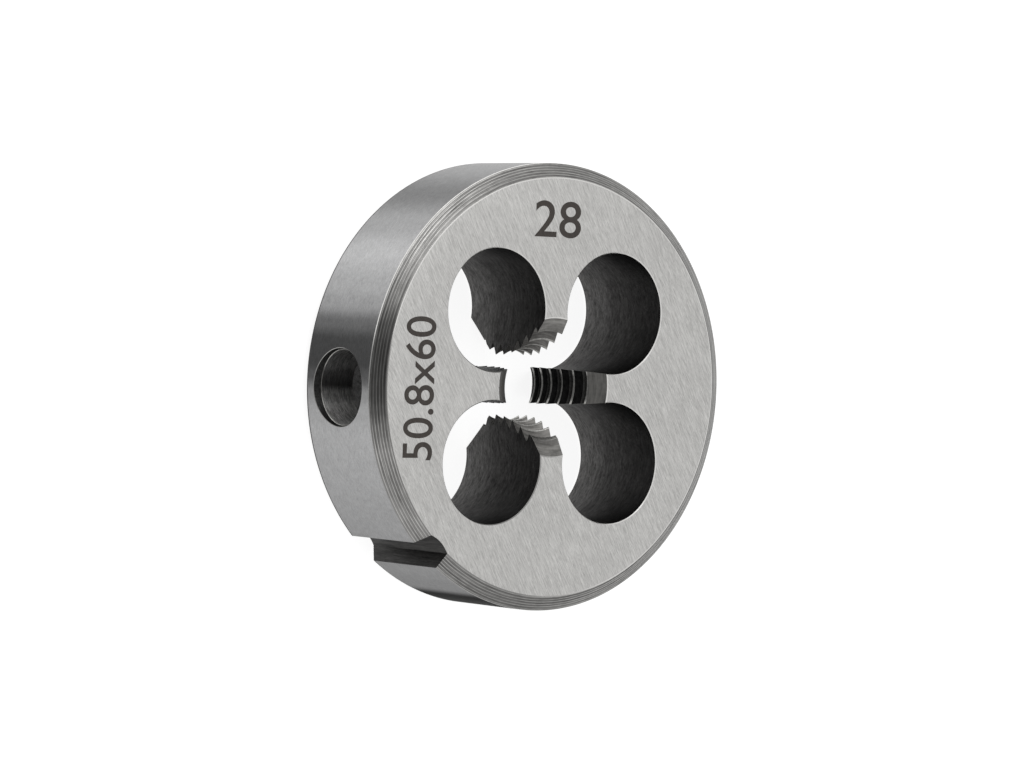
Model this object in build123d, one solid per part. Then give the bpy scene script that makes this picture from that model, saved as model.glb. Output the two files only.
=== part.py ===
from build123d import *
import math
import os

# Round threading die, closed type, for an M10 x 1.5 right-hand thread.
# The die lies on its back face: +Z is the thread axis, Z = 0 is the back face and the
# marked front face is up. The origin is on the axis. The four cutting lands stand on the
# X and Y axes, the chip holes between them. All sizes are in millimetres.

# Disc
outer_diameter = 50.8
thickness = 13.7
rim_chamfer_radial = 1.7
rim_chamfer_axial = 1.05

# Thread. The crests cut the root of the bolt's thread, the grooves leave its crest.
thread_diameter = 10.0
pitch = 1.5
flank_angle = 60.0
crest_flat = pitch / 8
root_flat = pitch / 8
first_groove_height = 1.24

# Throat: the crests narrow from both faces along one arc to the full thread, which is
# nearer to the back. A countersink at each face leads into it.
throat_height = 6.0
front_throat_radius = 6.1
front_countersink_radius = 7.9
front_countersink_depth = 1.35
back_countersink_radius = 7.8
back_countersink_depth = 4.7

# Chip holes, opened straight towards the bore, which leave the four lands between them.
# From its narrowest place a land widens a little on each side towards its tip.
land_count = 4
chip_hole_diameter = 13.9
chip_hole_circle_diameter = 24.2
land_flare_angle = 6.0

# Notch along the rim, for the middle screw of the die stock
notch_direction = 228.5
notch_mouth_width = 4.35
notch_floor_width = 3.1
notch_side_depth = 1.8
notch_depth = 2.1

# Screw seats in the rim, one to each side of the notch: drilled, a little tapered, with
# a short wider mouth and the drill's point at the end
seat_spacing = 47.0
seat_mouth_diameter = 9.0
seat_mouth_depth = 0.85
seat_neck_diameter = 8.5
seat_floor_diameter = 7.9
seat_wall_depth = 5.0
seat_point_angle = 118.0

# A cutter starts and ends this far outside the metal it cuts.
overrun = 1.0

outer_radius = outer_diameter / 2
thread_radius = thread_diameter / 2
flank_slope = math.tan(math.radians(flank_angle / 2))
thread_depth = (pitch - crest_flat - root_flat) / 2 / flank_slope
crest_radius = thread_radius - thread_depth
land_step = 360.0 / land_count
# The throat's arc touches the crests' bore at its own height and ends in the front countersink.
throat_rise = thickness - front_countersink_depth - throat_height
throat_widening = front_throat_radius - crest_radius
throat_arc_radius = (throat_rise**2 + throat_widening**2) / (2 * throat_widening)


def in_direction(angle, radius=0.0, height=0.0):
    """The place at a radius and height in a direction round the axis, facing outwards."""
    return Pos(0, 0, height) * Rot(0, 0, angle) * Pos(radius, 0, 0)


def throat_radius(height):
    """The radius of the thread's crests at a height, along the throat's arc."""
    rise = height - throat_height
    return crest_radius + throat_arc_radius - math.sqrt(throat_arc_radius**2 - rise**2)


def disc():
    """The turned blank: a disc with a flat chamfer at both edges of its rim."""
    face_radius = outer_radius - rim_chamfer_radial
    half_profile = Polyline(
        (0, 0),
        (face_radius, 0),
        (outer_radius, rim_chamfer_axial),
        (outer_radius, thickness - rim_chamfer_axial),
        (face_radius, thickness),
        (0, thickness),
        close=True,
    )
    return revolve(Plane.XZ * make_face(half_profile), Axis.Z)


def bore():
    """The hole to the thread's crests: the throat, and a countersink at each face."""
    front_height = thickness - front_countersink_depth
    back_end = (throat_radius(back_countersink_depth), back_countersink_depth)
    front_end = (throat_radius(front_height), front_height)
    throat = ThreePointArc(back_end, (crest_radius, throat_height), front_end)
    rest = Polyline(
        front_end,
        (front_countersink_radius, thickness),
        (0, thickness),
        (0, 0),
        (back_countersink_radius, 0),
        back_end,
    )
    return revolve(Plane.XZ * make_face(throat + rest), Axis.Z)


def chip_hole():
    """A chip hole: a drilled circle, with its inner side opened straight to the bore."""
    radius = chip_hole_diameter / 2
    centre = chip_hole_circle_diameter / 2 * math.cos(math.radians(land_step / 2))
    flare = math.radians(land_flare_angle)
    # The straight sides touch the circle here, and meet on the line to the axis.
    near = centre - radius * math.cos(flare)
    far = centre - radius * math.sin(flare)
    meeting = (near + far * math.tan(flare)) / (1 + math.tan(flare))
    opened = make_face(
        Polyline((near, far), (meeting, meeting), (far, near), (centre, centre), close=True)
    )
    outline = Pos(centre, centre) * Circle(radius) + opened
    return extrude(outline, thickness + 2 * overrun)


def chip_holes():
    """The holes that break into the bore and give each land its cutting edges."""
    return [in_direction(land_step * index, 0, -overrun) * chip_hole() for index in range(land_count)]


def groove(height):
    """One turn's groove over one land.

    Over the width of a land the helix is a circle tilted by the lead angle, so the
    groove is a stretch of a tilted ring that ends in the chip holes.
    """
    root_radius = throat_radius(height) + thread_depth
    inner_radius = crest_radius - overrun
    root_half_width = root_flat / 2
    inner_half_width = root_half_width + (root_radius - inner_radius) * flank_slope
    section = Polyline(
        (inner_radius, -inner_half_width),
        (root_radius, -root_half_width),
        (root_radius, root_half_width),
        (inner_radius, inner_half_width),
        close=True,
    )
    ring = revolve(Plane.XZ * make_face(section), Axis.Z, land_step)
    lead_angle = math.degrees(math.atan(pitch / (2 * math.pi * root_radius)))
    return Pos(0, 0, height) * Rot(lead_angle, 0, 0) * Rot(0, 0, -land_step / 2) * ring


def thread_grooves():
    """The grooves between the thread's crests, one for each turn on each land."""
    grooves = []
    for land in range(land_count):
        height = first_groove_height + pitch * land / land_count
        while height < thickness - front_countersink_depth:
            grooves.append(in_direction(land_step * land) * groove(height))
            height += pitch
    return grooves


def notch():
    """The notch along the whole thickness of the rim: tapered sides and a bowed floor."""
    side_slope = (notch_mouth_width - notch_floor_width) / 2 / notch_side_depth
    mouth_radius = outer_radius + overrun
    mouth_half_width = notch_mouth_width / 2 + overrun * side_slope
    corner_radius = outer_radius - notch_side_depth
    corner_half_width = notch_floor_width / 2
    floor = ThreePointArc(
        (corner_radius, -corner_half_width),
        (outer_radius - notch_depth, 0),
        (corner_radius, corner_half_width),
    )
    sides = Polyline(
        (corner_radius, corner_half_width),
        (mouth_radius, mouth_half_width),
        (mouth_radius, -mouth_half_width),
        (corner_radius, -corner_half_width),
    )
    cutter = extrude(make_face(floor + sides), thickness + 2 * overrun)
    return in_direction(notch_direction, 0, -overrun) * cutter


def seat(direction):
    """A screw seat: the mouth's short taper, the wall, then the cone of the drill's point."""
    mouth_radius = seat_mouth_diameter / 2
    neck_radius = seat_neck_diameter / 2
    floor_radius = seat_floor_diameter / 2
    mouth_slope = (mouth_radius - neck_radius) / seat_mouth_depth
    point_depth = floor_radius / math.tan(math.radians(seat_point_angle / 2))
    half_profile = Polyline(
        (outer_radius + overrun, 0),
        (outer_radius + overrun, mouth_radius + overrun * mouth_slope),
        (outer_radius - seat_mouth_depth, neck_radius),
        (outer_radius - seat_wall_depth, floor_radius),
        (outer_radius - seat_wall_depth - point_depth, 0),
        close=True,
    )
    cutter = revolve(make_face(half_profile), Axis.X)
    return in_direction(direction, 0, thickness / 2) * cutter


def threading_die():
    body = disc() - bore()
    body -= chip_holes()
    for cutter in thread_grooves():
        body -= cutter
    body -= notch()
    body -= [
        seat(notch_direction - seat_spacing),
        seat(notch_direction + seat_spacing),
    ]
    return body


os.makedirs("parts", exist_ok=True)
export_step(threading_die(), "parts/threading_die.step")
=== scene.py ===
import math

import bmesh
import bpy
from mathutils import Matrix, Vector


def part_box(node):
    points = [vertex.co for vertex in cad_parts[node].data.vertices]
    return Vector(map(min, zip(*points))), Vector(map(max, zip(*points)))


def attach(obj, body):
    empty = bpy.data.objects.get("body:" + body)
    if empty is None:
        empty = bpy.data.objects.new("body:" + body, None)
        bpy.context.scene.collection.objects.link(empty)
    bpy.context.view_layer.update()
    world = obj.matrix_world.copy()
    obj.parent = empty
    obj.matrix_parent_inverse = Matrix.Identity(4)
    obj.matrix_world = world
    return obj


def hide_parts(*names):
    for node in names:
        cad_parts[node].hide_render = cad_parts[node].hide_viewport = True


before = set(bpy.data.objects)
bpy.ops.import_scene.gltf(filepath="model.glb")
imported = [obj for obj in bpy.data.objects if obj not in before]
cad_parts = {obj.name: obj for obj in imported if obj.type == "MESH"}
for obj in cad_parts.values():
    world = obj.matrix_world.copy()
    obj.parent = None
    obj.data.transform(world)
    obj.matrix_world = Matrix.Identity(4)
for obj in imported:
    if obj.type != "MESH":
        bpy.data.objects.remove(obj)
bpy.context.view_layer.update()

mm = 0.001

# The blank is a disc of tool steel, turned on a lathe: rim, two chamfers, and the bore with a
# countersink at each face. Its two faces are then ground flat, which leaves fine slanting
# streaks, while the rim keeps a fine turned finish and the chamfers keep coarser rings.

die_low, die_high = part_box("threading_die")
thickness = die_high.z - die_low.z
outer_radius = (die_high.x - die_low.x) / 2
chamfer_radial = 1.7 * mm
chamfer_axial = 1.05 * mm
face_radius = outer_radius - chamfer_radial
pitch = 1.5 * mm
crest_flat = pitch / 8
root_flat = pitch / 8
flank_angle = math.radians(60)
flank_slope = math.tan(flank_angle / 2)
thread_radius = 5 * mm
thread_depth = (pitch - crest_flat - root_flat) / 2 / flank_slope
crest_radius = thread_radius - thread_depth
throat_height = 6 * mm
front_throat_radius = 6.1 * mm
front_countersink_radius = 7.9 * mm
front_countersink_depth = 1.35 * mm
back_countersink_radius = 7.8 * mm
back_countersink_depth = 4.7 * mm
throat_rise = thickness - front_countersink_depth - throat_height
throat_widening = front_throat_radius - crest_radius
throat_arc_radius = (throat_rise**2 + throat_widening**2) / (2 * throat_widening)
edge_break = 0.07 * mm
rim_border = 0.16 * mm
blank_steps = 400
throat_points = 28
chamfer_ring_depths = [0.03 * mm, 0.014 * mm, 0.024 * mm, 0.01 * mm, 0.028 * mm, 0.016 * mm]
chamfer_rings = len(chamfer_ring_depths)
points_per_ring = 7
merge_distance = 1e-8
# How far a face's normal points up or down: 1 is a level face and 0 an upright one.
level_face = 0.999
slanted_face = 0.9
upright_face = 0.1


def new_material(name, metallic, roughness):
    """A material with its Principled shader, and the node tree to build on."""
    material = bpy.data.materials.new(name)
    material.use_nodes = True
    shader = material.node_tree.nodes["Principled BSDF"]
    shader.inputs["Metallic"].default_value = metallic
    shader.inputs["Roughness"].default_value = roughness
    return material, material.node_tree, shader


def add_node(tree, kind, settings=(), **inputs):
    """A node with its settings, and its inputs set to values or linked to other sockets."""
    made = tree.nodes.new(kind)
    for name, value in dict(settings).items():
        setattr(made, name, value)
    for name, value in inputs.items():
        socket = made.inputs[name.replace("_", " ")]
        if isinstance(value, bpy.types.NodeSocket):
            tree.links.new(value, socket)
        else:
            socket.default_value = value
    return made


def calculated(tree, kind, first, second):
    """The result of a Math node on two values or sockets."""
    made = tree.nodes.new("ShaderNodeMath")
    made.operation = kind
    for socket, value in zip(made.inputs, (first, second)):
        if isinstance(value, bpy.types.NodeSocket):
            tree.links.new(value, socket)
        else:
            socket.default_value = value
    return made.outputs[0]


def new_group(name, inputs, outputs):
    """A shader node group with named inputs and outputs."""
    group = bpy.data.node_groups.new(name, "ShaderNodeTree")
    for label, kind, value in inputs:
        socket = group.interface.new_socket(label, in_out="INPUT", socket_type=kind)
        if value is not None:
            socket.default_value = value
    for label, kind in outputs:
        group.interface.new_socket(label, in_out="OUTPUT", socket_type=kind)
    return group, group.nodes.new("NodeGroupInput"), group.nodes.new("NodeGroupOutput")


# Tool marks: long streaks at two finenesses, which every machined surface shows.
tool_marks, marks_in, marks_out = new_group(
    "tool_marks",
    [("Vector", "NodeSocketVector", None), ("Scale", "NodeSocketFloat", 1000.0)],
    [("Tone", "NodeSocketFloat"), ("Height", "NodeSocketFloat")],
)
fine_to_broad = 3.3
darkest_noise = 0.3
lightest_noise = 0.7
broad = add_node(
    tool_marks, "ShaderNodeTexNoise",
    Vector=marks_in.outputs["Vector"], Scale=marks_in.outputs["Scale"], Detail=3.0, Roughness=0.6,
)
fine_scale = calculated(tool_marks, "MULTIPLY", marks_in.outputs["Scale"], fine_to_broad)
fine = add_node(
    tool_marks, "ShaderNodeTexNoise",
    Vector=marks_in.outputs["Vector"], Scale=fine_scale, Detail=2.0, Roughness=0.7,
)
both = add_node(tool_marks, "ShaderNodeMix", {"data_type": "FLOAT"}, Factor=0.5)
tool_marks.links.new(broad.outputs["Fac"], both.inputs["A"])
tool_marks.links.new(fine.outputs["Fac"], both.inputs["B"])
spread = add_node(tool_marks, "ShaderNodeMapRange", Value=both.outputs["Result"])
spread.inputs["From Min"].default_value = darkest_noise
spread.inputs["From Max"].default_value = lightest_noise
tool_marks.links.new(spread.outputs["Result"], marks_out.inputs["Tone"])
tool_marks.links.new(both.outputs["Result"], marks_out.inputs["Height"])

# Round marks: a place turned into its radius less its height, so that streaks run round the axis.
round_marks, round_in, round_out = new_group(
    "round_marks",
    [("Vector", "NodeSocketVector", None), ("Drift", "NodeSocketFloat", 0.03)],
    [("Vector", "NodeSocketVector")],
)
parts = add_node(round_marks, "ShaderNodeSeparateXYZ", Vector=round_in.outputs["Vector"])
squares = calculated(
    round_marks, "ADD",
    calculated(round_marks, "MULTIPLY", parts.outputs["X"], parts.outputs["X"]),
    calculated(round_marks, "MULTIPLY", parts.outputs["Y"], parts.outputs["Y"]),
)
from_axis = calculated(round_marks, "SQRT", squares, 0.0)
joined = add_node(
    round_marks, "ShaderNodeCombineXYZ",
    X=calculated(round_marks, "SUBTRACT", from_axis, parts.outputs["Z"]),
    Y=calculated(round_marks, "MULTIPLY", parts.outputs["X"], round_in.outputs["Drift"]),
    Z=calculated(round_marks, "MULTIPLY", parts.outputs["Y"], round_in.outputs["Drift"]),
)
round_marks.links.new(joined.outputs["Vector"], round_out.inputs["Vector"])

# A light mark is this much glossier than the roughness given, and a dark one this much duller.
gloss_swing = 0.06


def marked_steel(
    name, dark, light, scale, roughness, bump,
    stretch=(1, 1, 1), turn=0.0, round_the_axis=False, patches=0.3, patch_size=6 * mm, metallic=1.0,
):
    """Steel with tool marks between two tones: streaks along stretch, or round the die's axis."""
    material, tree, shader = new_material(name, metallic, roughness)
    place = add_node(tree, "ShaderNodeTexCoord")
    if round_the_axis:
        mapped = add_node(tree, "ShaderNodeGroup", {"node_tree": round_marks})
        tree.links.new(place.outputs["Object"], mapped.inputs["Vector"])
    else:
        mapped = add_node(tree, "ShaderNodeMapping", {"vector_type": "TEXTURE"})
        tree.links.new(place.outputs["Object"], mapped.inputs["Vector"])
        mapped.inputs["Rotation"].default_value = (0, 0, turn)
        mapped.inputs["Scale"].default_value = stretch
    marks = add_node(tree, "ShaderNodeGroup", {"node_tree": tool_marks})
    marks.inputs["Scale"].default_value = scale
    tree.links.new(mapped.outputs["Vector"], marks.inputs["Vector"])
    mottle = add_node(
        tree, "ShaderNodeTexNoise",
        Vector=place.outputs["Object"], Scale=1 / patch_size, Detail=4.0, Roughness=0.6,
    )
    toned = add_node(tree, "ShaderNodeMix", {"data_type": "FLOAT"}, Factor=patches)
    tree.links.new(marks.outputs["Tone"], toned.inputs["A"])
    tree.links.new(mottle.outputs["Fac"], toned.inputs["B"])
    colour = add_node(tree, "ShaderNodeMix", {"data_type": "RGBA"}, Factor=toned.outputs["Result"])
    colour.inputs["A"].default_value = (*dark, 1)
    colour.inputs["B"].default_value = (*light, 1)
    tree.links.new(colour.outputs["Result"], shader.inputs["Base Color"])
    gloss = add_node(tree, "ShaderNodeMapRange", Value=marks.outputs["Tone"])
    gloss.inputs["To Min"].default_value = roughness + gloss_swing
    gloss.inputs["To Max"].default_value = roughness - gloss_swing
    tree.links.new(gloss.outputs["Result"], shader.inputs["Roughness"])
    relief = add_node(tree, "ShaderNodeBump", Height=marks.outputs["Height"], Strength=1.0)
    relief.inputs["Distance"].default_value = bump
    tree.links.new(relief.outputs["Normal"], shader.inputs["Normal"])
    return material


ground_face = marked_steel(
    "ground_face", (0.32, 0.317, 0.308), (0.90, 0.892, 0.87), scale=7500.0,
    roughness=0.42, bump=0.007 * mm, stretch=(1, 14, 1), turn=math.radians(29), patches=0.2,
)
turned_chamfer = marked_steel(
    "turned_chamfer", (0.0, 0.0, 0.0), (0.38, 0.375, 0.365), scale=4200.0,
    roughness=0.34, bump=0.008 * mm, round_the_axis=True, patches=0.2, patch_size=1.2 * mm,
)
broken_edge = marked_steel(
    "broken_edge", (0.70, 0.69, 0.67), (0.95, 0.94, 0.92), scale=1500.0,
    roughness=0.3, bump=0.001 * mm,
)
countersink = marked_steel(
    "countersink", (0.01, 0.01, 0.009), (0.46, 0.45, 0.43), scale=3000.0,
    roughness=0.45, bump=0.01 * mm, round_the_axis=True, patches=0.35, patch_size=0.5 * mm,
)
thread_crest = marked_steel(
    "thread_crest", (0.12, 0.12, 0.115), (0.75, 0.74, 0.71), scale=3600.0,
    roughness=0.4, bump=0.006 * mm, stretch=(2, 2, 1), patches=0.4, patch_size=0.5 * mm,
)
dark_border = marked_steel(
    "dark_border", (0.02, 0.02, 0.02), (0.10, 0.10, 0.10), scale=2400.0,
    roughness=0.5, bump=0.004 * mm, round_the_axis=True,
)
turned_rim = marked_steel(
    "turned_rim", (0.28, 0.28, 0.282), (0.65, 0.65, 0.653), scale=7500.0,
    roughness=0.36, bump=0.003 * mm, stretch=(4, 4, 1), patches=0.3, patch_size=1.5 * mm,
)
ring_spacing = (chamfer_radial + chamfer_axial) / chamfer_rings
# A line is drawn where a ring's wave, from -1 to 1, rises above this, with fine gaps in it.
ring_crest = 0.3
ring_gap_scale = 900.0
# Along X, where the stretches of the notched side begin and where they have their full tone.
notched_side_start = 8 * mm
notched_side_full = -4 * mm


def add_rings(material, spacing, share, light):
    """Broken light lines round the axis, where a turned surface's ridges catch the light."""
    tree = material.node_tree
    shader = tree.nodes["Principled BSDF"]
    place = add_node(tree, "ShaderNodeTexCoord")
    mapped = add_node(tree, "ShaderNodeGroup", {"node_tree": round_marks})
    tree.links.new(place.outputs["Object"], mapped.inputs["Vector"])
    parts = add_node(tree, "ShaderNodeSeparateXYZ", Vector=mapped.outputs["Vector"])
    phase = calculated(tree, "MULTIPLY", parts.outputs["X"], 2 * math.pi / spacing)
    line = add_node(tree, "ShaderNodeMapRange", Value=calculated(tree, "SINE", phase, 0.0))
    line.inputs["From Min"].default_value = ring_crest
    line.inputs["To Max"].default_value = share
    broken = add_node(
        tree, "ShaderNodeTexNoise",
        Vector=place.outputs["Object"], Scale=ring_gap_scale, Detail=3.0, Roughness=0.7,
    )
    mask = calculated(tree, "MULTIPLY", line.outputs["Result"], broken.outputs["Fac"])
    plain = shader.inputs["Base Color"].links[0].from_socket
    mixed = add_node(tree, "ShaderNodeMix", {"data_type": "RGBA"}, Factor=mask)
    mixed.inputs["B"].default_value = (*light, 1)
    tree.links.new(plain, mixed.inputs["A"])
    tree.links.new(mixed.outputs["Result"], shader.inputs["Base Color"])


def tone_bands(material, axis, start, end, levels, notched_side_only=False, dim_edges=False):
    """Broad lighter and darker stretches in the colour, by place along an axis, mostly painted light and
    shade.

    With dim_edges they also hold where the surface is seen from its side.
    """
    tree = material.node_tree
    shader = tree.nodes["Principled BSDF"]
    place = add_node(tree, "ShaderNodeTexCoord")
    parts = add_node(tree, "ShaderNodeSeparateXYZ", Vector=place.outputs["Object"])
    along = add_node(tree, "ShaderNodeMapRange", Value=parts.outputs[axis])
    along.inputs["From Min"].default_value = start
    along.inputs["From Max"].default_value = end
    ramp = add_node(tree, "ShaderNodeValToRGB", Fac=along.outputs["Result"])
    ramp.color_ramp.interpolation = "EASE"
    while len(ramp.color_ramp.elements) < len(levels):
        ramp.color_ramp.elements.new(0.5)
    for stop, (position, level) in zip(ramp.color_ramp.elements, levels):
        stop.position = position
        stop.color = (level, level, level, 1)
    plain = shader.inputs["Base Color"].links[0].from_socket
    mixed = add_node(tree, "ShaderNodeMix", {"data_type": "RGBA", "blend_type": "MULTIPLY"}, Factor=1.0)
    if notched_side_only:
        side = add_node(tree, "ShaderNodeMapRange", Value=parts.outputs["X"])
        side.inputs["From Min"].default_value = notched_side_start
        side.inputs["From Max"].default_value = notched_side_full
        tree.links.new(side.outputs["Result"], mixed.inputs["Factor"])
    tree.links.new(plain, mixed.inputs["A"])
    tree.links.new(ramp.outputs["Color"], mixed.inputs["B"])
    tree.links.new(mixed.outputs["Result"], shader.inputs["Base Color"])
    if dim_edges:
        tree.links.new(ramp.outputs["Color"], shader.inputs["Specular Tint"])


add_rings(turned_chamfer, ring_spacing, share=0.85, light=(0.75, 0.74, 0.72))
# Painted reflections on the rim's notched side: lighter and darker bands along Y, dark by the seat near
# Y = 0 and at the bottom, which also dim its reflections seen from the side.
tone_bands(turned_rim, "Y", -outer_radius, outer_radius, [
    (0.0, 0.05), (0.026, 0.14), (0.045, 0.56), (0.09, 0.62), (0.2, 0.69), (0.29, 0.73), (0.38, 0.77),
    (0.44, 0.7), (0.47, 0.55), (0.51, 0.22), (0.54, 0.14), (0.59, 0.15), (0.63, 0.3), (0.67, 0.66),
    (0.716, 0.81), (0.783, 1.0), (0.85, 0.8), (0.917, 0.56), (0.98, 0.75),
], notched_side_only=True, dim_edges=True)
# Painted reflections on the chamfer's notched side: lighter and darker bands along Y, darkest around Y =
# 0.
tone_bands(turned_chamfer, "Y", -outer_radius, outer_radius, [
    (0.0, 0.75), (0.1, 1.05), (0.21, 1.3), (0.27, 1.15), (0.34, 1.32), (0.4, 0.8), (0.44, 0.42),
    (0.48, 0.27), (0.58, 0.27), (0.62, 0.35), (0.7, 1.0), (0.8, 1.25), (0.93, 0.9), (1.0, 1.1),
], notched_side_only=True)
# Painted shade on the broken edges of the notched side: dimmed to about a third over its lower part.
tone_bands(broken_edge, "Y", -outer_radius, outer_radius, [
    (0.0, 0.35), (0.46, 0.3), (0.56, 0.36), (0.64, 1.0),
], notched_side_only=True)
# On the two lands along X the crests are dull in the middle and bright at the cutting edges.
land_half_width = 2.05 * mm
crest_levels = [(0.0, 1.0), (0.07, 0.85), (0.2, 0.3), (0.8, 0.3), (0.93, 0.85), (1.0, 1.0)]
tone_bands(thread_crest, "Y", -land_half_width, land_half_width, crest_levels)
tone_bands(countersink, "X", -front_countersink_radius, front_countersink_radius, [
    (0.0, 1.0), (0.6, 1.0), (0.8, 0.45), (1.0, 0.45),
])


def throat_radius(height):
    """The radius of the thread's crests at a height, along the throat's arc."""
    rise = height - throat_height
    return crest_radius + throat_arc_radius - math.sqrt(throat_arc_radius**2 - rise**2)


def chamfer_profile(face_height, rim_height):
    """The chamfer from the face's edge to the rim, with its turned rings, radius first."""
    start = Vector((face_radius, face_height))
    end = Vector((outer_radius, rim_height))
    along = (end - start).normalized()
    start += along * edge_break
    end -= along * edge_break
    outward = Vector((abs(along.y), math.copysign(along.x, face_height - rim_height)))
    points = [Vector((face_radius - edge_break, face_height))]
    for index in range(chamfer_rings * points_per_ring + 1):
        share = index / (chamfer_rings * points_per_ring)
        dip = (1 - math.cos(share * chamfer_rings * 2 * math.pi)) / 2
        depth = chamfer_ring_depths[min(index // points_per_ring, chamfer_rings - 1)]
        points.append(start.lerp(end, share) - outward * dip * depth)
    for reach in (edge_break, edge_break + rim_border):
        height = rim_height + math.copysign(reach, rim_height - face_height)
        points.append(Vector((outer_radius, height)))
    return points


def as_object(solid, name, materials):
    """An object at the origin that holds a finished bmesh."""
    mesh = bpy.data.meshes.new(name)
    solid.to_mesh(mesh)
    solid.free()
    for material in materials:
        mesh.materials.append(material)
    made = bpy.data.objects.new(name, mesh)
    bpy.context.scene.collection.objects.link(made)
    return made


throat_start = back_countersink_depth
throat_end = thickness - front_countersink_depth
throat_line = []
for index in range(throat_points + 1):
    height = throat_start + (throat_end - throat_start) * index / throat_points
    throat_line.append((throat_radius(height), height))
blank_outline = [
    *throat_line,
    (front_countersink_radius - edge_break, thickness - edge_break),
    (front_countersink_radius + edge_break, thickness),
    *chamfer_profile(thickness, thickness - chamfer_axial),
    *reversed(chamfer_profile(0, chamfer_axial)),
    (back_countersink_radius + edge_break, 0),
    (back_countersink_radius - edge_break, edge_break),
]
blank = bmesh.new()
corners = [blank.verts.new((radius, 0, height)) for radius, height in blank_outline]
outline = [blank.edges.new((corners[i - 1], corners[i])) for i in range(len(corners))]
bmesh.ops.spin(
    blank, geom=corners + outline, cent=(0, 0, 0), axis=(0, 0, 1),
    angle=2 * math.pi, steps=blank_steps, use_merge=True, use_duplicate=False,
)
bmesh.ops.remove_doubles(blank, verts=blank.verts, dist=merge_distance)
bmesh.ops.recalc_face_normals(blank, faces=blank.faces)
GROUND, RIM, CHAMFER, EDGE, COUNTERSINK, CREST, DARK_BORDER = range(7)
for face in blank.faces:
    middle = face.calc_center_median()
    radius = math.hypot(middle.x, middle.y)
    level = abs(face.normal.z)
    if level > level_face:
        face.material_index = GROUND
    elif face_radius + edge_break < radius < outer_radius - edge_break:
        face.material_index = CHAMFER
    elif radius > face_radius and level < upright_face:
        by_the_back = middle.z < chamfer_axial + edge_break + rim_border
        face.material_index = DARK_BORDER if by_the_back else RIM
    elif throat_start < middle.z < throat_end and radius < front_throat_radius:
        face.material_index = CREST
    elif level > slanted_face or middle.z < edge_break or radius > front_countersink_radius - edge_break:
        face.material_index = EDGE
    else:
        face.material_index = COUNTERSINK
die = as_object(
    blank, "die",
    [ground_face, turned_rim, turned_chamfer, broken_edge, countersink, thread_crest, dark_border],
)


def cut(target, cutter):
    """The target with the cutter's shape taken out; cut faces keep the cutter's finish."""
    boolean = target.modifiers.new("cut", "BOOLEAN")
    boolean.operation = "DIFFERENCE"
    boolean.solver = "EXACT"
    boolean.material_mode = "TRANSFER"
    boolean.object = cutter
    settled = target.evaluated_get(bpy.context.evaluated_depsgraph_get())
    mesh = bpy.data.meshes.new_from_object(settled)
    target.modifiers.clear()
    target.data = mesh
    bpy.data.objects.remove(cutter)


# The chip holes are drilled straight through round the bore and opened towards it with straight sides,
# which leaves the four lands. Their walls are dark, with the scratches of the drill and painted light
# that grows towards the back face, and a thin broken edge at each face catches the light.

land_count = 4
chip_hole_radius = 6.95 * mm
chip_hole_distance = 12.1 * mm
land_flare = math.radians(6)
hole_edge = 0.1 * mm
hole_arc_steps = 120
overrun = 1 * mm

drilled_wall = marked_steel(
    "drilled_wall", (0.0, 0.0, 0.0), (0.21, 0.205, 0.202), scale=3000.0,
    roughness=0.42, bump=0.03 * mm, stretch=(4, 4, 1), turn=math.radians(40),
    patches=0.3, patch_size=3 * mm,
)
# Painted light: the walls grow lighter towards the back face.
tone_bands(drilled_wall, "Z", 0, thickness, [
    (0.0, 1.0), (0.18, 0.75), (0.45, 0.38), (0.75, 0.24), (1.0, 0.2),
])
# Seen from its side the wall shines less than clean steel.
drilled_side_shine = (0.6, 0.6, 0.6, 1)
drilled_shader = drilled_wall.node_tree.nodes["Principled BSDF"]
drilled_shader.inputs["Specular Tint"].default_value = drilled_side_shine


def chip_hole_outline(hole, radius, height):
    """A closed loop of edges at a height: the drilled arc, and the corner near the bore."""
    centre = chip_hole_distance * math.cos(math.pi / land_count)
    near = centre - radius * math.cos(land_flare)
    far = centre - radius * math.sin(land_flare)
    meeting = (near + far * math.tan(land_flare)) / (1 + math.tan(land_flare))
    before = set(hole.edges)
    start = hole.verts.new((near, far, height))
    turned = bmesh.ops.spin(
        hole, geom=[start], cent=(centre, centre, height), axis=(0, 0, -1),
        angle=1.5 * math.pi + 2 * land_flare, steps=hole_arc_steps,
        use_merge=False, use_duplicate=False,
    )
    corner = hole.verts.new((meeting, meeting, height))
    hole.edges.new((start, corner))
    hole.edges.new((corner, turned["geom_last"][0]))
    return [edge for edge in hole.edges if edge not in before]


hole = bmesh.new()
hole_levels = [
    (chip_hole_radius + hole_edge, -overrun),
    (chip_hole_radius + hole_edge, 0),
    (chip_hole_radius, hole_edge),
    (chip_hole_radius, thickness - hole_edge),
    (chip_hole_radius + hole_edge, thickness),
    (chip_hole_radius + hole_edge, thickness + overrun),
]
loops = [chip_hole_outline(hole, radius, height) for radius, height in hole_levels]
for lower, upper in zip(loops, loops[1:]):
    bmesh.ops.bridge_loops(hole, edges=lower + upper)
bmesh.ops.holes_fill(hole, edges=[edge for edge in hole.edges if edge.is_boundary])
bmesh.ops.recalc_face_normals(hole, faces=hole.faces)
HOLE_WALL, HOLE_EDGE = range(2)
for face in hole.faces:
    slanted = upright_face < abs(face.normal.z) < slanted_face
    face.material_index = HOLE_EDGE if slanted else HOLE_WALL
first_hole = list(hole.verts) + list(hole.edges) + list(hole.faces)
for turn in range(1, land_count):
    copied = bmesh.ops.duplicate(hole, geom=first_hole)["geom"]
    bmesh.ops.rotate(
        hole, verts=[item for item in copied if isinstance(item, bmesh.types.BMVert)],
        cent=(0, 0, 0), matrix=Matrix.Rotation(turn * 2 * math.pi / land_count, 3, "Z"),
    )
cut(die, as_object(hole, "chip_hole_cutter", [drilled_wall, broken_edge]))

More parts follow.
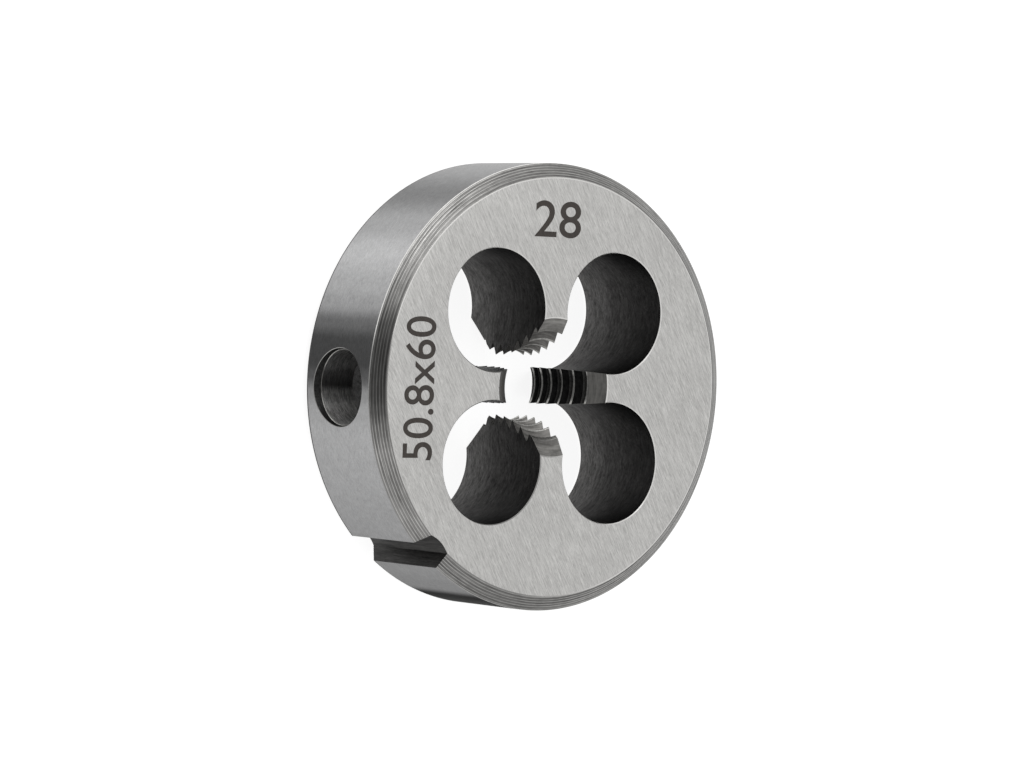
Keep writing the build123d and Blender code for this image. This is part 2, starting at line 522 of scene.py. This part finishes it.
# The thread is cut in the lands along the throat. Its grooves carry painted shade and a painted
# highlight: dark at the root, near-black along the flanks and lighter towards the crests, with grey
# flanks on two of the lands. What is left of the throat's wall between them is the row of light crests
# on each land.

root_half_width = root_flat / 2
first_groove_height = 1.24 * mm
mouth_radius = crest_radius - overrun
groove_span = math.radians(84)
groove_steps = 28
highlight_reach = 0.07 * mm
root_band_width = 0.5 * mm

# Painted shade in the grooves: near-black along the flanks, dark grey at the root, grey on two of the
# lands.
dark_flank = marked_steel(
    "dark_flank", (0.0, 0.0, 0.0), (0.013, 0.013, 0.013), scale=2400.0,
    roughness=0.42, bump=0.005 * mm, stretch=(2, 2, 1),
)
thread_root = marked_steel(
    "thread_root", (0.01, 0.01, 0.01), (0.08, 0.079, 0.076), scale=2400.0,
    roughness=0.42, bump=0.005 * mm, stretch=(2, 2, 1),
)
grey_flank = marked_steel(
    "grey_flank", (0.01, 0.01, 0.01), (0.33, 0.32, 0.305), scale=3000.0,
    roughness=0.42, bump=0.008 * mm, round_the_axis=True, patches=0.4, patch_size=0.5 * mm,
)
# A painted highlight on the flanks near the crests; the seats' thin light ring takes the same material.
pale_flank = marked_steel(
    "pale_flank", (0.10, 0.10, 0.096), (0.70, 0.69, 0.66), scale=3600.0,
    roughness=0.4, bump=0.008 * mm, stretch=(2, 2, 1), patches=0.4, patch_size=0.5 * mm,
)
tone_bands(pale_flank, "Y", -land_half_width, land_half_width, crest_levels)


def groove_stretch(groove, land, height):
    """The groove of one turn over one land, from chip hole to chip hole."""
    root = throat_radius(height) + thread_depth
    highlight_radius = throat_radius(height - pitch / 2) + highlight_reach
    sides = []
    for radius in (mouth_radius, highlight_radius, root - root_band_width, root):
        sides.append((radius, root_half_width + (root - radius) * flank_slope))
    start = height - pitch * groove_span / (4 * math.pi)
    around = [(radius, start - half) for radius, half in sides]
    around += [(radius, start + half) for radius, half in reversed(sides)]
    section = groove.faces.new([groove.verts.new((radius, 0, z)) for radius, z in around])
    began = set(groove.verts) - set(section.verts)
    bmesh.ops.spin(
        groove, geom=[section], cent=(0, 0, 0), axis=(0, 0, 1), angle=groove_span,
        dvec=(0, 0, pitch * groove_span / (2 * math.pi) / groove_steps),
        steps=groove_steps, use_merge=False, use_duplicate=False,
    )
    made = [vert for vert in groove.verts if vert not in began]
    for face in {face for vert in made for face in vert.link_faces}:
        middle = face.calc_center_median()
        radius = math.hypot(middle.x, middle.y)
        if radius < highlight_radius:
            face.material_index = HIGHLIGHT
        # Lit and shaded copies of one flank: painted grey on two lands, near-black on the other two.
        elif land % 2:
            face.material_index = GREY
        else:
            face.material_index = DARK if radius < root - root_band_width else ROOT
    turn = Matrix.Rotation(land * 2 * math.pi / land_count - groove_span / 2, 3, "Z")
    bmesh.ops.rotate(groove, verts=made, cent=(0, 0, 0), matrix=turn)


# Neighbouring turns overlap inside the bore, so every other turn is cut on its own.
HIGHLIGHT, GREY, DARK, ROOT = range(4)
for first_turn in (0, 1):
    groove = bmesh.new()
    for land in range(land_count):
        height = first_groove_height + pitch * (first_turn + land / land_count)
        while height < thickness - front_countersink_depth:
            groove_stretch(groove, land, height)
            height += 2 * pitch
    bmesh.ops.recalc_face_normals(groove, faces=groove.faces)
    cut(die, as_object(groove, "thread_cutter", [pale_flank, grey_flank, dark_flank, thread_root]))

# The notch is milled along the rim for the middle screw of the die stock. It is dark, with
# the cutter's streaks along it.

notch_direction = math.radians(228.5)
notch_mouth_width = 4.35 * mm
notch_floor_width = 3.1 * mm
notch_side_depth = 1.8 * mm
notch_depth = 2.1 * mm
notch_floor_steps = 12

milled_notch = marked_steel(
    "milled_notch", (0.0, 0.0, 0.0), (0.08, 0.078, 0.076), scale=4800.0,
    roughness=0.4, bump=0.025 * mm, stretch=(1, 1, 20), patches=0.1, patch_size=2 * mm,
)

notch = bmesh.new()
side_slope = (notch_mouth_width - notch_floor_width) / 2 / notch_side_depth
mouth_half_width = notch_mouth_width / 2 + overrun * side_slope
bow = notch_depth - notch_side_depth
bow_radius = (notch_floor_width**2 / 4 + bow**2) / (2 * bow)
floor_start = notch.verts.new((outer_radius - notch_side_depth, -notch_floor_width / 2, -overrun))
bowed = bmesh.ops.spin(
    notch, geom=[floor_start], cent=(outer_radius - notch_depth + bow_radius, 0, -overrun),
    axis=(0, 0, -1), angle=2 * math.asin(notch_floor_width / 2 / bow_radius),
    steps=notch_floor_steps, use_merge=False, use_duplicate=False,
)
floor_end = bowed["geom_last"][0]
mouth_corners = [
    notch.verts.new((outer_radius + overrun, y, -overrun))
    for y in (mouth_half_width, -mouth_half_width)
]
for first, second in zip((floor_end, *mouth_corners), (*mouth_corners, floor_start)):
    notch.edges.new((first, second))
notch_face = bmesh.ops.edgeloop_fill(notch, edges=notch.edges)["faces"]
raised = bmesh.ops.extrude_face_region(notch, geom=notch_face)["geom"]
bmesh.ops.translate(
    notch, verts=[item for item in raised if isinstance(item, bmesh.types.BMVert)],
    vec=(0, 0, thickness + 2 * overrun),
)
notch_turn = Matrix.Rotation(notch_direction, 3, "Z")
bmesh.ops.rotate(notch, verts=notch.verts, cent=(0, 0, 0), matrix=notch_turn)
bmesh.ops.recalc_face_normals(notch, faces=notch.faces)
cut(die, as_object(notch, "notch_cutter", [milled_notch]))

# The screw seats are drilled in the rim at both sides of the notch: a short taper at the
# mouth, a thin light ring below it, a wall with ring marks, and the cone that the drill's
# point leaves.

seat_spacing = math.radians(47)
seat_mouth_radius = 4.5 * mm
seat_mouth_depth = 0.85 * mm
seat_neck_radius = 4.25 * mm
seat_ring_width = 0.06 * mm
seat_edge_break = 0.05 * mm
seat_floor_radius = 3.95 * mm
seat_wall_depth = 5 * mm
seat_point_angle = math.radians(118)
seat_point_slope = math.tan(seat_point_angle / 2)
seat_steps = 144

dark_seat = marked_steel(
    "dark_seat", (0.0, 0.0, 0.0), (0.1, 0.099, 0.098), scale=2400.0,
    roughness=0.42, bump=0.01 * mm,
)

SEAT_DARK, SEAT_WALL, SEAT_RING = range(3)
for side in (-1, 1):
    seat_direction = notch_direction + side * seat_spacing
    seat_wall = marked_steel(
        "seat_wall", (0.0, 0.0, 0.0), (1.0, 0.99, 0.98), scale=5200.0,
        roughness=0.65, bump=0.03 * mm, stretch=(1, 7, 7), turn=seat_direction,
        patches=0.2, patch_size=1.5 * mm,
    )
    # Painted shade and light in the seat: bands along Y darken the middle of the wall and lighten the
    # stretch below it.
    tone_bands(seat_wall, "Y", -seat_mouth_radius, seat_mouth_radius, [
        (0.0, 1.0), (0.2, 1.3), (0.33, 0.7), (0.45, 0.15), (0.59, 0.25), (0.7, 0.5), (0.93, 0.3),
    ])
    seat = bmesh.new()
    mouth_slope = (seat_mouth_radius - seat_neck_radius) / seat_mouth_depth
    seat_profile = [
        (outer_radius + overrun, seat_mouth_radius + overrun * mouth_slope),
        (outer_radius - seat_mouth_depth, seat_neck_radius),
        (outer_radius - seat_mouth_depth - seat_ring_width, seat_neck_radius - seat_ring_width),
        (outer_radius - seat_wall_depth, seat_floor_radius),
        (outer_radius - seat_wall_depth - seat_floor_radius / seat_point_slope, 0),
    ]
    seat_side = [seat.verts.new((x, 0, r)) for x, r in seat_profile]
    seat_line = [seat.edges.new(pair) for pair in zip(seat_side, seat_side[1:])]
    bmesh.ops.spin(
        seat, geom=seat_side + seat_line, cent=(0, 0, 0), axis=(1, 0, 0),
        angle=2 * math.pi, steps=seat_steps, use_merge=True, use_duplicate=False,
    )
    bmesh.ops.remove_doubles(seat, verts=seat.verts, dist=merge_distance)
    bmesh.ops.holes_fill(seat, edges=[edge for edge in seat.edges if edge.is_boundary])
    bmesh.ops.recalc_face_normals(seat, faces=seat.faces)
    for face in seat.faces:
        depth = outer_radius - face.calc_center_median().x
        if 0 < depth - seat_mouth_depth < seat_ring_width:
            face.material_index = SEAT_RING
        elif seat_mouth_depth < depth < seat_wall_depth:
            face.material_index = SEAT_WALL
        else:
            face.material_index = SEAT_DARK
    bmesh.ops.translate(seat, verts=seat.verts, vec=(0, 0, thickness / 2))
    seat_turn = Matrix.Rotation(seat_direction, 3, "Z")
    bmesh.ops.rotate(seat, verts=seat.verts, cent=(0, 0, 0), matrix=seat_turn)
    cut(die, as_object(seat, "seat_cutter", [dark_seat, seat_wall, pale_flank]))

# The sharp mouths of the seats are broken by hand after drilling, which leaves a thin light
# edge round each of them.
drilled_die = bmesh.new()
drilled_die.from_mesh(die.data)
rim_index = die.data.materials.find(turned_rim.name)
seat_index = die.data.materials.find(dark_seat.name)
edge_index = die.data.materials.find(broken_edge.name)
mouth_edges = [
    edge for edge in drilled_die.edges
    if {face.material_index for face in edge.link_faces} == {rim_index, seat_index}
]
broken_mouths = bmesh.ops.bevel(
    drilled_die, geom=mouth_edges, offset=seat_edge_break, offset_type="OFFSET", affect="EDGES",
    segments=1, profile=0.5, material=-1,
)
for face in broken_mouths["faces"]:
    face.material_index = edge_index
drilled_die.to_mesh(die.data)
drilled_die.free()

# The finished die is one piece of steel. Its curved walls are shaded smooth, while the ground
# faces stay flat and the edges between the cuts stay crisp.

crisp_angle = math.radians(20)

die.data.name = "die"
for polygon in die.data.polygons:
    polygon.use_smooth = abs(polygon.normal.z) < level_face
die.data.set_sharp_from_angle(angle=crisp_angle)
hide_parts("threading_die")
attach(die, "root")

# The front face carries two dark marks burnt in by a laser: plain numbers, one reading
# upwards at the left of the lands and one above them.

mark_height = 4.15 * mm
mark_proud = 0.006 * mm
stroke_gain = 0.006
letter_merge_distance = 1e-5
side_mark_centre = Vector((-19.2, -0.4)) * mm
side_mark_length = 15.9 * mm
top_mark_centre = Vector((-0.3, 19.0)) * mm
top_mark_length = 6.7 * mm

laser_mark = marked_steel(
    "laser_mark", (0.025, 0.020, 0.017), (0.062, 0.052, 0.045), scale=5000.0,
    roughness=0.75, bump=0.004 * mm, stretch=(1, 6, 1), turn=math.radians(27), metallic=0.0,
)


def burnt_mark(name, words, centre, length, turn):
    """Flat lettering of a given height and length on the front face, turned about its centre."""
    curve = bpy.data.curves.new(name, "FONT")
    curve.body = words
    curve.offset = stroke_gain
    typed = bpy.data.objects.new(name, curve)
    bpy.context.scene.collection.objects.link(typed)
    bpy.context.view_layer.update()
    settled = typed.evaluated_get(bpy.context.evaluated_depsgraph_get())
    mesh = bpy.data.meshes.new_from_object(settled)
    bpy.data.objects.remove(typed)
    flat = bmesh.new()
    flat.from_mesh(mesh)
    bmesh.ops.remove_doubles(flat, verts=flat.verts, dist=letter_merge_distance)
    low = Vector([min(vert.co[axis] for vert in flat.verts) for axis in range(3)])
    high = Vector([max(vert.co[axis] for vert in flat.verts) for axis in range(3)])
    bmesh.ops.translate(flat, verts=flat.verts, vec=-(low + high) / 2)
    size = high - low
    bmesh.ops.scale(flat, verts=flat.verts, vec=(length / size.x, mark_height / size.y, 1))
    bmesh.ops.rotate(flat, verts=flat.verts, cent=(0, 0, 0), matrix=Matrix.Rotation(turn, 3, "Z"))
    bmesh.ops.translate(flat, verts=flat.verts, vec=(centre.x, centre.y, thickness + mark_proud))
    for face in flat.faces:
        if face.normal.z < 0:
            face.normal_flip()
    mark = as_object(flat, name, [laser_mark])
    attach(mark, "root")


burnt_mark("side_mark", "50.8x60", side_mark_centre, side_mark_length, math.radians(90))
burnt_mark("top_mark", "28", top_mark_centre, top_mark_length, 0)

# The studio is a white floor under one large soft light, with a pale surround. The die
# lies on its back face, and the camera looks at it from the photograph's angle.

floor_reach = 1.5
floor_drop = 0.02 * mm
# The floor glows a little towards the camera and in reflections, and lights the die plainly.
seen_glow = 0.88
seen_white = 0.32
lighting_white = 0.8
surround_strength = 0.75

floor_paint, floor_tree, floor_shader = new_material("floor_paint", metallic=0.0, roughness=0.9)
floor_shader.inputs["Specular IOR Level"].default_value = 0.0
floor_shader.inputs["Emission Color"].default_value = (1, 1, 1, 1)
rays = add_node(floor_tree, "ShaderNodeLightPath").outputs
direct = calculated(floor_tree, "MAXIMUM", rays["Is Camera Ray"], rays["Is Glossy Ray"])
seen = calculated(floor_tree, "MAXIMUM", direct, rays["Is Transmission Ray"])
glow = calculated(floor_tree, "MULTIPLY", seen, seen_glow)
floor_tree.links.new(glow, floor_shader.inputs["Emission Strength"])
floor_white = add_node(floor_tree, "ShaderNodeMix", {"data_type": "RGBA"}, Factor=seen)
floor_white.inputs["A"].default_value = (lighting_white, lighting_white, lighting_white, 1)
floor_white.inputs["B"].default_value = (seen_white, seen_white, seen_white, 1)
floor_tree.links.new(floor_white.outputs["Result"], floor_shader.inputs["Base Color"])
floor = bmesh.new()
bmesh.ops.create_grid(floor, x_segments=1, y_segments=1, size=floor_reach)
bmesh.ops.translate(floor, verts=floor.verts, vec=(0, 0, -floor_drop))
floor_object = as_object(floor, "floor", [floor_paint])

world = bpy.data.worlds.new("surround")
bpy.context.scene.world = world
world.use_nodes = True
background = world.node_tree.nodes["Background"]
background.inputs["Color"].default_value = (1, 1, 1, 1)
background.inputs["Strength"].default_value = surround_strength

key_place = Vector((0.05, 0.55, 0.62))
key_lamp = bpy.data.lights.new("key_light", "AREA")
key_lamp.size = 0.5
key_lamp.energy = 1.2
key_light = bpy.data.objects.new("key_light", key_lamp)
key_light.location = key_place
key_light.rotation_euler = (-key_place).to_track_quat("-Z", "Y").to_euler()
bpy.context.scene.collection.objects.link(key_light)

camera_place = Vector((-0.30116, 0.00925, 0.38253))
camera_forward = Vector((0.62537, -0.01922, -0.78009))
picture_up = Vector((-0.01628, 0.99916, -0.03766))
focal_pixels = 4208.3
picture_width = 1024
centre_pixel_offset = (4.6, 1.2)
camera_data = bpy.data.cameras.new("camera")
camera_data.sensor_width = 36
camera_data.lens = camera_data.sensor_width * focal_pixels / picture_width
camera_data.shift_x = -centre_pixel_offset[0] / picture_width
camera_data.shift_y = centre_pixel_offset[1] / picture_width
camera_data.clip_start = 0.01
camera = bpy.data.objects.new("camera", camera_data)
picture_right = camera_forward.cross(picture_up).normalized()
picture_up = picture_right.cross(camera_forward).normalized()
camera.matrix_world = Matrix.Translation(camera_place) @ Matrix(
    (picture_right, picture_up, -camera_forward.normalized())
).transposed().to_4x4()
bpy.context.scene.collection.objects.link(camera)
bpy.context.scene.camera = camera
bpy.context.scene.view_settings.view_transform = "Standard"
